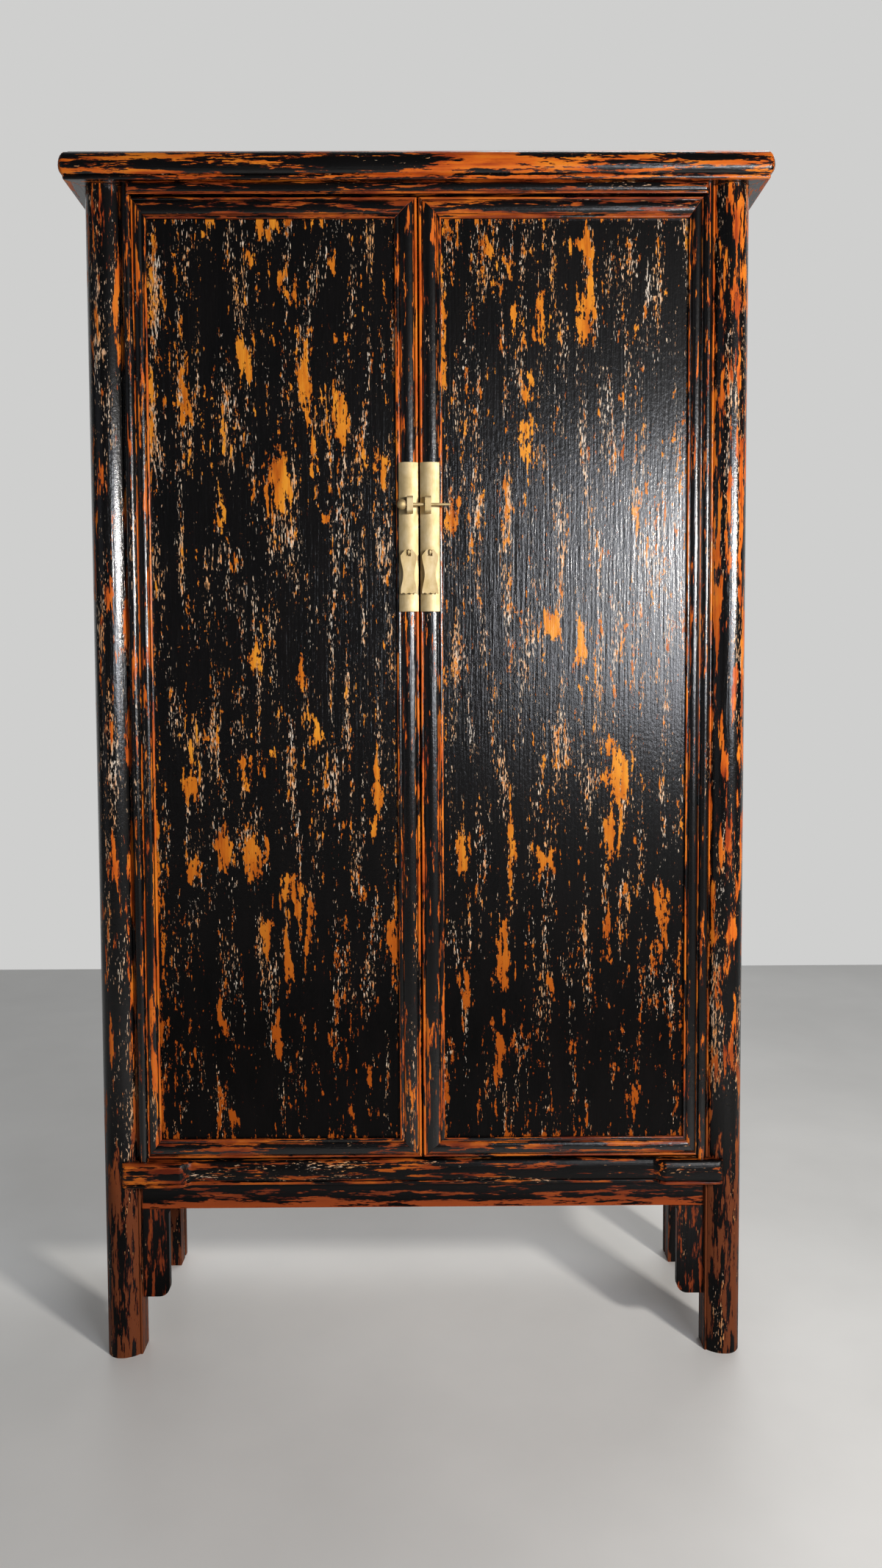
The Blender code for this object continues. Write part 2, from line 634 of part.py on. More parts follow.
def make_floor_and_shelves():
    """Floor board on the base rails, and two shelves on bearers between the posts."""
    door_back = DOOR_FRONT + DOOR_THICKNESS
    notched_board("floor_board", door_back + DOOR_GAP, BASE_RAIL_TOP + SEAT)
    reach = HALF_DEPTH - POST_DEPTH - SEAT
    outer = HALF_WIDTH - SIDE_PANEL_INSET - PANEL_THICKNESS - SEAT
    for level, height in zip(("lower", "upper"), SHELF_HEIGHTS):
        notched_board(f"{level}_shelf", -HALF_DEPTH + POST_DEPTH + SEAT, height)
        for name, hand in (("left", -1), ("right", 1)):
            edges = sorted((hand * outer, hand * (outer - BEARER_WIDTH)))
            board(f"{level}_{name}_bearer", (edges[0], -reach, height - SEAT - BEARER_HEIGHT),
                  (edges[1], reach, height - SEAT), RAW_WOOD)


def moulding(width):
    """Front of a door frame member, from its outer edge to its panel edge: bead, crown, bead."""
    bead = width * BEAD_SHARE
    hollow = width * HOLLOW_SHARE
    inner = width * INNER_BEAD_SHARE
    crown_start = bead + hollow
    crown_end = width - inner - hollow
    crown_half = (crown_end - crown_start) / 2
    front = arc((bead / 2, HOLLOW_DEPTH), (bead / 2, HOLLOW_DEPTH - BEAD_DEPTH), 180, 360, BEAD_STEPS)
    front += arc((crown_start + crown_half, HOLLOW_DEPTH), (crown_half, HOLLOW_DEPTH), 180, 360)
    front += arc((width - inner / 2, HOLLOW_DEPTH), (inner / 2, HOLLOW_DEPTH - INNER_BEAD_DEPTH),
                 180, 360, BEAD_STEPS)
    return front


def panel_edge(width):
    """Inner edge of a door frame member, with the groove for the door panel."""
    near = DOOR_PANEL_SINK - SEAT
    far = DOOR_PANEL_SINK + PANEL_THICKNESS + SEAT
    floor = width - TONGUE - SEAT
    return [(width, near), (floor, near), (floor, far), (width, far), (width, DOOR_THICKNESS)]


def pivot_outline():
    """Plan of the pole-side stile: the round pole and the moulded stile in one."""
    centre = (-POLE_RADIUS, POLE_RADIUS)
    pole = arc(centre, (POLE_RADIUS, POLE_RADIUS), *POLE_ARC, POLE_STEPS)
    back = [(0, DOOR_THICKNESS), (0, pole[0][1])]
    return moulding(PIVOT_MOULDING) + panel_edge(PIVOT_MOULDING) + back + pole


def make_door(side, hand):
    """One door: framed panel, back battens and a pole that turns in the base rail and the cap."""
    panel_low = DOOR_BOTTOM + DOOR_RAIL
    panel_high = DOOR_TOP - DOOR_RAIL
    corner = {"pivot": PIVOT_MOULDING / DOOR_RAIL, "meeting": MEETING_STILE / DOOR_RAIL}

    def pivot_place(a, b, run):
        trim = SEAT + a * DOOR_RAIL / PIVOT_MOULDING if a > 0 else 0.0
        height = DOOR_BOTTOM + trim if run < 0.5 else DOOR_TOP - trim
        return hand * (MOULDING_START - a), DOOR_FRONT + b, height
    pivot = piece(f"{side}_door_pivot_stile", pivot_outline(), pivot_place, DOOR_LACQUER)
    ends = (("foot", BASE_RAIL_TOP + SEAT, DOOR_BOTTOM + POLE_OVERLAP, BASE_RAIL_TOP - DOWEL_LENGTH),
            ("head", DOOR_TOP - POLE_OVERLAP, CAP_UNDERSIDE - SEAT, CAP_UNDERSIDE + DOWEL_LENGTH))
    for name, low, high, dowel_end in ends:
        combine(pivot, cylinder_tool(name, POLE_END_RADIUS, low, high, hand * POLE_X, POLE_Y), "UNION")
        span = sorted((dowel_end, (low + high) / 2))
        combine(pivot, cylinder_tool(name, DOWEL_RADIUS, span[0], span[1], hand * POLE_X, POLE_Y), "UNION")

    def meeting_place(a, b, run):
        trim = SEAT + a * DOOR_RAIL / MEETING_STILE
        height = DOOR_BOTTOM + trim if run < 0.5 else DOOR_TOP - trim
        return hand * (MEETING_EDGE + a), DOOR_FRONT + b, height
    outline = moulding(MEETING_STILE) + panel_edge(MEETING_STILE) + [(0, DOOR_THICKNESS)]
    meeting = piece(f"{side}_door_meeting_stile", outline, meeting_place, DOOR_LACQUER)

    rails = []
    outline = moulding(DOOR_RAIL) + panel_edge(DOOR_RAIL) + [(0, DOOR_THICKNESS)]
    for name, edge, inward in (("top", DOOR_TOP, -1), ("bottom", DOOR_BOTTOM, 1)):
        def rail_place(a, b, run, edge=edge, inward=inward):
            near = MEETING_EDGE + SEAT + a * corner["meeting"]
            far = MOULDING_START - SEAT - a * corner["pivot"]
            return hand * (near if run < 0.5 else far), DOOR_FRONT + b, edge + inward * a
        rails.append(piece(f"{side}_door_{name}_rail", outline, rail_place, DOOR_LACQUER))

    depth = DOOR_FRONT + DOOR_PANEL_SINK
    near = MEETING_EDGE + MEETING_STILE
    edges = sorted((hand * (near - TONGUE), hand * (PANEL_EDGE + TONGUE)))
    panel = board(f"{side}_door_panel", (edges[0], depth, panel_low - TONGUE),
                  (edges[1], depth + PANEL_THICKNESS, panel_high + TONGUE), DOOR_LACQUER)
    battens = []
    edges = sorted((hand * (near + SEAT), hand * (PANEL_EDGE - SEAT)))
    for name, height in zip(("lower", "upper"), DOOR_BATTEN_HEIGHTS):
        battens.append(board(f"{side}_door_{name}_batten",
                             (edges[0], depth + PANEL_THICKNESS + SEAT, height),
                             (edges[1], DOOR_FRONT + DOOR_THICKNESS, height + DOOR_BATTEN_WIDTH), RAW_WOOD))
    return [pivot, meeting, *rails, panel, *battens]


def plate_outline():
    """Plan of a face plate: a crescent over the meeting stile, crown forward."""
    half = PLATE_WIDTH / 2
    steps = ARC_STEPS
    spots = [half * (2 * k / steps - 1) for k in range(steps + 1)]
    front = [(x, -SEAT - PLATE_CROWN + PLATE_FALL * (x / half) ** 2) for x in spots]
    back_half = half - PLATE_EDGE
    spots = [back_half * (1 - 2 * k / steps) for k in range(steps + 1)]
    back = [(x, -SEAT + PLATE_HOLLOW * (x / back_half) ** 2) for x in spots]
    return front + back


def rounded_tongue(reach, height, radius):
    """Side view of a lug: flat at the plate, round at the front, forward as minus."""
    outline = [(0, 0), (0, height)]
    outline += arc((-reach + radius, height - radius), (radius, radius), 90, 180, CORNER_STEPS)
    outline += arc((-reach + radius, radius), (radius, radius), 180, 270, CORNER_STEPS)
    return outline


def pull_outline():
    """Front view of a pull about its pivot: two ears on a gable, waisted sides and a wavy foot."""
    half = PULL_WIDTH / 2
    draw = (PULL_WIDTH - PULL_WAIST) / 2
    fall = PULL_DROP - PULL_WAVE - PULL_SHOULDER
    right = [(PULL_EAR, PULL_HEAD)]
    for k in range(ARC_STEPS + 1):
        share = k / ARC_STEPS
        right.append((half - draw * sin(pi * share) ** 2, -PULL_SHOULDER - fall * share))
    foot = []
    for k in range(1, 2 * ARC_STEPS):
        x = half * (1 - k / ARC_STEPS)
        foot.append((x, -PULL_DROP + PULL_WAVE * (1 + cos(PULL_WAVES * pi * x / half)) / 2))
    left = [(-a, b) for a, b in reversed(right)]
    notch = PULL_WINDOW_WIDTH / 2
    ears = [(-notch, PULL_HEAD), (-notch, PULL_BAR_RADIUS), (notch, PULL_BAR_RADIUS), (notch, PULL_HEAD)]
    return right + foot + left + ears


def make_brass(side, hand):
    """Face plate and lug of one door, and the eye and bar that its pull hangs from."""
    centre = hand * PLATE_CENTRE

    def plate_place(a, b, run):
        return centre + a, DOOR_FRONT + b, PLATE_BOTTOM + run * PLATE_HEIGHT
    plate = piece(f"{side}_face_plate", plate_outline(), plate_place, BRASS)

    def lug_place(a, b, run):
        return hand * LUG_OFFSET + (run - 0.5) * LUG_WIDTH, LUG_SEAT + a, PIN_HEIGHT - LUG_HEIGHT / 2 + b
    hole = circle((-PIN_STANDOFF, LUG_HEIGHT / 2), PIN_HOLE_RADIUS, ROUND_SIDES)
    tongue = rounded_tongue(LUG_REACH, LUG_HEIGHT, LUG_CORNER)
    lug = piece(f"{side}_lug", tongue, lug_place, BRASS, [hole])

    def eye_place(a, b, run):
        return centre + (run - 0.5) * EYE_WIDTH, PULL_PIVOT_Y + a, PULL_PIVOT_HEIGHT + b
    ring = circle((0, 0), EYE_RADIUS, ROUND_SIDES)
    hole = circle((0, 0), EYE_HOLE_RADIUS, EYE_HOLE_SIDES)
    eye = piece(f"{side}_pull_eye", ring, eye_place, BRASS, [hole])
    return [plate, lug, eye]


def make_pull(side, hand):
    """A pull: a waisted plate with a bar at its head, left between a notch and a window."""
    centre = hand * PLATE_CENTRE
    half = PULL_WINDOW_WIDTH / 2
    window = [(-half, -PULL_BAR_RADIUS), (-half, -PULL_WINDOW_DROP),
              (half, -PULL_WINDOW_DROP), (half, -PULL_BAR_RADIUS)]

    def place(a, b, run):
        return centre + a, PULL_PIVOT_Y + (run - 0.5) * PULL_THICKNESS, PULL_PIVOT_HEIGHT + b
    return piece(f"{side}_pull", pull_outline(), place, BRASS, [window])


def make_lock_pin():
    """Ball-headed tapering pin that lies through both lugs."""
    head_end = -LUG_OFFSET - LUG_WIDTH / 2 - SEAT
    centre = head_end - PIN_HEAD_RADIUS
    profile = []
    for k in range(ARC_STEPS + 1):
        turn = pi * k / ARC_STEPS
        reach = PIN_HEAD_RADIUS * sin(turn)
        along = centre - PIN_HEAD_RADIUS * cos(turn)
        if k < ARC_STEPS and not (k > ARC_STEPS / 2 and reach < PIN_NECK_RADIUS):
            profile.append((along, reach))
    tip_end = head_end + PIN_LENGTH
    profile += [(head_end, PIN_NECK_RADIUS), (tip_end, PIN_TIP_RADIUS), (tip_end, 0)]
    mesh = bpy.data.meshes.new("lock_pin")
    bm = bmesh.new()
    verts = [bm.verts.new((x, 0, r)) for x, r in profile]
    edges = [bm.edges.new(pair) for pair in zip(verts, verts[1:])]
    bmesh.ops.spin(bm, geom=verts + edges, cent=(0, 0, 0), axis=(1, 0, 0), angle=2 * pi, steps=ROUND_SIDES)
    bmesh.ops.remove_doubles(bm, verts=bm.verts, dist=WELD)
    face_outward(bm)
    for vert in bm.verts:
        vert.co = splayed(vert.co + Vector((0, PIN_Y, PIN_HEIGHT)))
    bm.to_mesh(mesh)
    bm.free()
    return new_object("lock_pin", mesh, BRASS), Vector((head_end, PIN_Y, PIN_HEIGHT))


make_posts()
make_cap()
make_front_rails()
make_side_and_rear_rails()
make_aprons()
make_case_panels()
make_floor_and_shelves()
for door_side, door_hand in (("left", -1), ("right", 1)):
    pole_foot = splayed(Vector((door_hand * POLE_X, POLE_Y, BASE_RAIL_TOP)))
    hinge = joint_empty(f"{door_side}_door_axis", pole_foot)
    hang_on(hinge, make_door(door_side, door_hand) + make_brass(door_side, door_hand))
    swing = joint_empty(f"{door_side}_pull_axis",
                        splayed(Vector((door_hand * PLATE_CENTRE, PULL_PIVOT_Y, PULL_PIVOT_HEIGHT))))
    hang_on(swing, [make_pull(door_side, door_hand)])
lock_pin, pin_place = make_lock_pin()
hang_on(joint_empty("lock_pin_axis", splayed(pin_place)), [lock_pin])
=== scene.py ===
# %% [markdown]
# # A tapered two-door cabinet in worn black lacquer
# The real object is an old softwood cupboard with round posts that lean in towards the top.
# Its black lacquer has rubbed through to orange and red ground coats, and a brass pin locks the doors.
# The solid model fixes every size, so this lesson only dresses it: softer edges, finishes, light and a camera.
# The file starts empty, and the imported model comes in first, because every piece has to ride on one of its bodies.

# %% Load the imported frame
import json
from functools import partial
from math import hypot, pi, radians, tan

import bmesh
import bpy
from mathutils import Matrix, Vector
from mathutils.noise import noise_vector, seed_set

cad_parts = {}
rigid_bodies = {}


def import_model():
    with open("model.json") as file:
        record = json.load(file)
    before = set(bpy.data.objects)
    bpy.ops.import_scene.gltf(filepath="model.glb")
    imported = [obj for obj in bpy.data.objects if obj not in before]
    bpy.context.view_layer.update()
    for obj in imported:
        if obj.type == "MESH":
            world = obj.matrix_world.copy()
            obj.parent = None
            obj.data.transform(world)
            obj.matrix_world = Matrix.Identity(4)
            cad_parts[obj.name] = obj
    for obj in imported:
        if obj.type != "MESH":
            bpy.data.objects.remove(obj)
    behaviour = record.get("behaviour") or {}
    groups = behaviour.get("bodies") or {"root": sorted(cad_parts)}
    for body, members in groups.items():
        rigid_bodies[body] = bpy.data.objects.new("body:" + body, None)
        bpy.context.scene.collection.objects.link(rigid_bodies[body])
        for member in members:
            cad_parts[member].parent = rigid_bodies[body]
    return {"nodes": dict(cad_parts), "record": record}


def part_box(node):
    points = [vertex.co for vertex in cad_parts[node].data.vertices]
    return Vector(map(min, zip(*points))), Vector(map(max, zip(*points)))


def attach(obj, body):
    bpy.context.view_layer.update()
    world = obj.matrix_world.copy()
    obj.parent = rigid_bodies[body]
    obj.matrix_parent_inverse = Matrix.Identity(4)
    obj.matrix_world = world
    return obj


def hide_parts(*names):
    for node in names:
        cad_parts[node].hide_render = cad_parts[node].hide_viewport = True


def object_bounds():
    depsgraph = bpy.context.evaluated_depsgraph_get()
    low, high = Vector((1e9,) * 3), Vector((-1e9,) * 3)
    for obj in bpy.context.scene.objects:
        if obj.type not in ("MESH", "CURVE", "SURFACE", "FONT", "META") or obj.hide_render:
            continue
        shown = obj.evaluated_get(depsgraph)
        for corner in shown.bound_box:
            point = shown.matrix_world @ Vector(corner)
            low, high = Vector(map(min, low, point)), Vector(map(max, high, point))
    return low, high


for leftover in list(bpy.data.objects):
    bpy.data.objects.remove(leftover)
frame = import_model()
cad_low, cad_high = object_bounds()
bpy.ops.object.select_all(action="DESELECT")
scene = bpy.context.scene
scene.view_settings.view_transform = "Standard"
body_of_node = {node: body for body, nodes in frame["record"]["behaviour"]["bodies"].items() for node in nodes}
print("CAD nodes:", len(frame["nodes"]), "box:", [round(v, 3) for v in (*cad_low, *cad_high)])

# %% [markdown]
# ## Camera
# The cabinet was taken by someone standing straight in front of it, with the lens at about chest height.
# A camera can be aimed by a Track To constraint, but a photograph is never quite level,
# so here the place, the small turns and the focal length are set one by one.
# The long side of the picture is 2133 pixels, and the lens is as long as 1600 of them.

# %% Place the camera
PICTURE_LONG_SIDE = 2133
FOCAL_PIXELS = 1600
SENSOR_MM = 36.0
CAMERA_PLACE = (0.0194, -1.9398, 1.0458)
LOOK_DOWN = radians(4.695)
LOOK_RIGHT = radians(0.364)
LEAN_RIGHT = radians(0.241)

camera_data = bpy.data.cameras.new("front_view")
camera_data.sensor_width = SENSOR_MM
camera_data.lens = SENSOR_MM * FOCAL_PIXELS / PICTURE_LONG_SIDE
camera = bpy.data.objects.new("front_view", camera_data)
scene.collection.objects.link(camera)
turn = Matrix.Rotation(-LOOK_RIGHT, 4, "Z") @ Matrix.Rotation(pi / 2 - LOOK_DOWN, 4, "X")
camera.matrix_world = Matrix.Translation(CAMERA_PLACE) @ turn @ Matrix.Rotation(-LEAN_RIGHT, 4, "Z")
scene.camera = camera
print("lens:", round(camera_data.lens, 2), "mm")

# %% [markdown]
# ## Colours and shader nodes
# Paint colours are read as sRGB hex codes, as a paint maker would give them, while a shader works in linear light.
# One function turns the codes round. A second one adds any node, sets its inputs and links what feeds it,
# so that each finish below reads as a list of steps.

# %% Helpers for finishes
def paint(code):
    """An sRGB hex code as the linear colour that a shader reads."""
    parts = [int(code[k:k + 2], 16) / 255 for k in (1, 3, 5)]
    return (*[p / 12.92 if p <= 0.04045 else ((p + 0.055) / 1.055) ** 2.4 for p in parts], 1.0)


def add(tree, kind, inputs=None, stops=None, **settings):
    """Add one node: settings are its properties, inputs are values or the nodes that feed it."""
    node = tree.nodes.new(kind)
    for key, value in settings.items():
        setattr(node, key, value)
    if stops:
        ramp = node.color_ramp
        while len(ramp.elements) < len(stops):
            ramp.elements.new(1.0)
        for element, (place, code) in zip(ramp.elements, stops):
            element.position = place
            element.color = paint(code)
    usable = [s for s in node.inputs if s.enabled]
    for key, value in (inputs or {}).items():
        socket = usable[key] if isinstance(key, int) else node.inputs[key]
        if isinstance(value, bpy.types.Node):
            value = next(s for s in value.outputs if s.enabled)
        if isinstance(value, bpy.types.NodeSocket):
            tree.links.new(value, socket)
        else:
            socket.default_value = value
    return node


def new_finish(name):
    """An empty node material and its Principled shader."""
    material = bpy.data.materials.new(name)
    material.use_nodes = True
    return material, material.node_tree, material.node_tree.nodes["Principled BSDF"]


def per_metre(*sizes_mm):
    """Mapping scale that makes one noise cell as large as these sizes along X, Y and Z."""
    return tuple(1000.0 / size for size in sizes_mm)


# %% [markdown]
# ## Floor and light
# The cabinet stands on a pale painted floor, with one soft lamp to the right of the camera.
# A lamp that is a large square gives a broad sheen on flat lacquer and a soft edge to the shadow.
# The room in front of the cabinet is dim, so that the black stays black, and the wall behind it is pale.
# A world that grows lighter towards the back gives both without any wall that would block a view from behind.

# %% Floor, lamps and world
FLOOR_HALF = 7.0
FLOOR_BACK = 2.4
bpy.ops.mesh.primitive_plane_add(size=2.0, location=(0, 0, 0))
floor = bpy.context.object
floor.name = "floor"
for corner in floor.data.vertices:
    corner.co.x *= FLOOR_HALF
    corner.co.y = FLOOR_BACK if corner.co.y > 0 else -FLOOR_HALF
floor_finish, tree, shader = new_finish("painted_concrete")
spots = add(tree, "ShaderNodeTexCoord")
cloud = add(tree, "ShaderNodeTexNoise", {"Vector": spots.outputs["Object"], "Scale": 2.2, "Detail": 5.0})
shade = add(tree, "ShaderNodeValToRGB", {"Fac": cloud}, [(0.3, "#DCDCDA"), (0.7, "#E9E9E7")])
tree.links.new(shade.outputs["Color"], shader.inputs["Base Color"])
shader.inputs["Roughness"].default_value = 0.38
floor.data.materials.append(floor_finish)


def lamp(name, place, target, size, watts, code, beam=180):
    """A square soft lamp aimed at a point, with its beam in degrees."""
    bpy.ops.object.light_add(type="AREA", location=place)
    light = bpy.context.object
    light.name = name
    light.rotation_euler = (Vector(target) - Vector(place)).to_track_quat("-Z", "Y").to_euler()
    light.data.size = size
    light.data.energy = watts
    light.data.spread = radians(beam)
    light.data.color = paint(code)[:3]


lamp("key_lamp", (1.5, -2.05, 1.5), (0.05, -0.17, 1.1), 0.22, 27.0, "#FFF9F1", 120)
lamp("soft_box", (1.05, -2.2, 1.38), (0.05, -0.17, 1.1), 0.85, 12.0, "#F2F6FF", 120)
lamp("left_fill", (-2.6, -2.4, 1.6), (0, 0, 0.9), 2.4, 3.0, "#EEF2FF")
lamp("top_back_lamp", (0.8, 1.3, 3.2), (0, 0.3, 0.6), 1.5, 22.0, "#FFFFFF")

world = bpy.data.worlds.new("pale_room")
scene.world = world
world.use_nodes = True
tree = world.node_tree
facing = add(tree, "ShaderNodeTexCoord")
split = add(tree, "ShaderNodeSeparateXYZ", {"Vector": facing.outputs["Generated"]})
behind = add(tree, "ShaderNodeMapRange", {"Value": split.outputs["Y"], "From Min": 0.1, "From Max": 0.8})
tone = add(tree, "ShaderNodeValToRGB", {"Fac": behind}, [(0.0, "#3A3A3C"), (0.75, "#C2C2C1"), (1.0, "#CFCFCE")])
tree.links.new(tone.outputs["Color"], tree.nodes["Background"].inputs["Color"])
tree.nodes["Background"].inputs["Strength"].default_value = 1.0

# %% [markdown]
# ## Worn lacquer
# The real finish is many coats of black lacquer over an orange and red ground on elm.
# It was brushed along the grain, and a century of hands and dry air has flaked and rubbed it.
# A painted picture could hold this, but noise that is stretched along the grain gives it at any size.
# Every noise below is one kind of wear, with its size across and along the grain in millimetres.
# Chips come where stretched noise, the wear painted on the piece and the sharpness of its edges add up past a limit.

# %% Kinds of wear
# Real cracks in the lacquer are about half a millimetre wide. They are drawn coarser here, so that they show.
WEAR_SIZES = {"fingers": (4, 34), "nibbles": (4, 7), "dashes": (1.8, 10), "regions": (90, 260),
              "fields": (20, 170), "hues": (28, 90), "streaks": (4, 110), "fibres": (1.6, 60)}
WEAR_WEIGHTS = {"chips": 1.3, "fingers": 0.55, "dashes": 0.3, "regions": 0.35}
CHIP_SOFT = 0.012
RIM_WIDTH = 0.05
NEAR_WIDTH = 0.20
FIELD_WEIGHT = 0.9
DASH_LIMIT = 0.655
DASH_SOFT = 0.05
LOW_DASHES = -0.05
AXES = {"x": 0, "y": 1, "z": 2}


def grain_size(grain, across, along):
    """Scale for a pattern that runs with the grain, from its sizes in millimetres."""
    return per_metre(*[along if axis == AXES[grain] else across for axis in range(3)])


# %% [markdown]
# ## The lacquer recipe
# Black lacquer is a glossy resin over a dull ground. To the eye that is a hard white highlight on a soft dark haze,
# with tan cracks and orange chips that are duller and lie a little deeper.
# One rough surface can't give both, so the shader has a rough base and a smooth coat over it.

# %% Write the lacquer recipe
BASE_GLOSS = 0.46
BARE_GLOSS = 0.56
GLOSS_SWING = 0.16
COAT_IOR = 1.55
PANEL_COAT = (0.90, 0.18)
FRAME_COAT = (1.0, 0.19)
POST_COAT = (1.0, 0.15)
DULL_COAT = (0.30, 0.30)
BARE_COAT = 0.35
FOOT_COAT = 0.12
NIBBLE_WEIGHT = 0.75
BAND_WEIGHT = 0.7


def worn_lacquer(name, grain, chip, limit, ground, coat=FRAME_COAT, field=0.5, arris=0.17, low=None,
                 painted=False):
    """Black lacquer along one axis: chip is a size in millimetres, low is more wear towards the floor."""
    material, tree, shader = new_finish(name)
    place = add(tree, "ShaderNodeTexCoord").outputs["Object"]
    noise = {}
    for kind, (across, along) in {"chips": chip, **WEAR_SIZES}.items():
        stretched = add(tree, "ShaderNodeMapping", {"Vector": place, "Scale": grain_size(grain, across, along)})
        noise[kind] = add(tree, "ShaderNodeTexNoise", {"Vector": stretched, "Scale": 1.0, "Detail": 4.0,
                                                       "Roughness": 0.58, "Distortion": 0.2})

    wear = -0.5 * sum(WEAR_WEIGHTS.values())
    for kind, weight in WEAR_WEIGHTS.items():
        wear = add(tree, "ShaderNodeMath", {0: noise[kind], 1: weight, 2: wear}, operation="MULTIPLY_ADD")
    edge = add(tree, "ShaderNodeAttribute", attribute_name="arris").outputs["Fac"]
    wear = add(tree, "ShaderNodeMath", {0: edge, 1: arris, 2: wear}, operation="MULTIPLY_ADD")
    if low:
        height = add(tree, "ShaderNodeSeparateXYZ", {"Vector": place}).outputs["Z"]
        lower = add(tree, "ShaderNodeMapRange", {"Value": height, "From Min": low["from"], "From Max": low["to"]})
        wear = add(tree, "ShaderNodeMath", {0: lower, 1: low["wear"], 2: wear}, operation="MULTIPLY_ADD")
    if painted:
        chipped = add(tree, "ShaderNodeAttribute", attribute_name="chips").outputs["Fac"]
        wear = add(tree, "ShaderNodeMath", {0: chipped, 1: wear}, operation="ADD")
        nibbled = add(tree, "ShaderNodeMath", {0: noise["nibbles"], 1: 0.5}, operation="SUBTRACT")
        wear = add(tree, "ShaderNodeMath", {0: nibbled, 1: NIBBLE_WEIGHT, 2: wear}, operation="MULTIPLY_ADD")
        banded = add(tree, "ShaderNodeMath", {0: noise["fields"], 1: 0.5}, operation="SUBTRACT")
        wear = add(tree, "ShaderNodeMath", {0: banded, 1: BAND_WEIGHT, 2: wear}, operation="MULTIPLY_ADD")
    bare = add(tree, "ShaderNodeMapRange", {"Value": wear, "From Min": limit, "From Max": limit + CHIP_SOFT})
    rim = add(tree, "ShaderNodeMapRange", {"Value": wear, "From Min": limit - RIM_WIDTH, "From Max": limit})
    near = add(tree, "ShaderNodeMapRange", {"Value": wear, "From Min": limit - NEAR_WIDTH, "From Max": limit})

    crack = add(tree, "ShaderNodeMath", {0: noise["fields"], 1: FIELD_WEIGHT, 2: field - 0.5 - FIELD_WEIGHT / 2},
                operation="MULTIPLY_ADD")
    crack = add(tree, "ShaderNodeMath", {0: near, 1: 0.05, 2: crack}, operation="MULTIPLY_ADD")
    crack = add(tree, "ShaderNodeMath", {0: noise["dashes"], 1: crack}, operation="ADD")
    if low:
        crack = add(tree, "ShaderNodeMath", {0: lower, 1: LOW_DASHES, 2: crack}, operation="MULTIPLY_ADD")
    crack = add(tree, "ShaderNodeMapRange", {"Value": crack, "From Min": DASH_LIMIT,
                                             "From Max": DASH_LIMIT + DASH_SOFT})

    black = add(tree, "ShaderNodeValToRGB", {"Fac": noise["hues"]}, [(0.30, "#020202"), (0.72, "#080606")])
    hue = add(tree, "ShaderNodeMix", {0: 0.35, 1: noise["hues"], 2: noise["streaks"]}, data_type="FLOAT")
    orange = add(tree, "ShaderNodeValToRGB", {"Fac": hue}, list(zip((0.38, 0.49, 0.60), ground)))
    if low:
        orange = add(tree, "ShaderNodeMix", {0: lower, 1: orange, 2: paint(low["colour"])}, data_type="RGBA")
    tan = add(tree, "ShaderNodeValToRGB", {"Fac": hue}, [(0.40, "#C4B9AD"), (0.50, "#CFBBA4"), (0.58, "#C8996E")])
    tan = add(tree, "ShaderNodeMix", {0: near, 1: tan, 2: paint("#CC8A50")}, data_type="RGBA")
    colour = add(tree, "ShaderNodeMix", {0: rim, 1: black, 2: paint("#4A190B")}, data_type="RGBA")
    colour = add(tree, "ShaderNodeMix", {0: crack, 1: colour, 2: tan}, data_type="RGBA")
    colour = add(tree, "ShaderNodeMix", {0: bare, 1: colour, 2: orange}, data_type="RGBA")
    tree.links.new(colour.outputs["Result"], shader.inputs["Base Color"])

    worn = add(tree, "ShaderNodeMath", {0: bare, 1: crack}, operation="MAXIMUM")
    gloss = add(tree, "ShaderNodeMapRange", {"Value": worn, "To Min": BASE_GLOSS - GLOSS_SWING / 2,
                                             "To Max": BARE_GLOSS - GLOSS_SWING / 2})
    gloss = add(tree, "ShaderNodeMath", {0: noise["fibres"], 1: GLOSS_SWING, 2: gloss}, operation="MULTIPLY_ADD")
    tree.links.new(gloss.outputs[0], shader.inputs["Roughness"])

    depth = add(tree, "ShaderNodeMath", {0: bare, 1: 0.6, 2: 0.0}, operation="MULTIPLY_ADD")
    depth = add(tree, "ShaderNodeMath", {0: crack, 1: 0.15, 2: depth}, operation="MULTIPLY_ADD")
    relief = add(tree, "ShaderNodeMath", {0: noise["fibres"], 1: 0.4}, operation="MULTIPLY")
    relief = add(tree, "ShaderNodeMath", {0: relief, 1: depth}, operation="SUBTRACT")
    bump = add(tree, "ShaderNodeBump", {"Height": relief, "Strength": 0.4, "Distance": 0.0004})
    tree.links.new(bump.outputs["Normal"], shader.inputs["Normal"])
    waves = add(tree, "ShaderNodeMath", {0: noise["nibbles"], 1: 0.5, 2: noise["streaks"]}, operation="MULTIPLY_ADD")
    brushed = add(tree, "ShaderNodeBump", {"Height": waves, "Strength": 0.6, "Distance": 0.0010})
    tree.links.new(brushed.outputs["Normal"], shader.inputs["Coat Normal"])
    shader.inputs["IOR"].default_value = 1.52
    shader.inputs["Specular IOR Level"].default_value = 0.04
    coated = add(tree, "ShaderNodeMapRange", {"Value": worn, "To Min": coat[0], "To Max": coat[0] * BARE_COAT})
    if low:
        kept = add(tree, "ShaderNodeMapRange", {"Value": lower, "To Min": 1.0, "To Max": FOOT_COAT})
        coated = add(tree, "ShaderNodeMath", {0: coated, 1: kept}, operation="MULTIPLY")
    tree.links.new(coated.outputs[0], shader.inputs["Coat Weight"])
    shader.inputs["Coat Roughness"].default_value = coat[1]
    shader.inputs["Coat IOR"].default_value = COAT_IOR
    return material


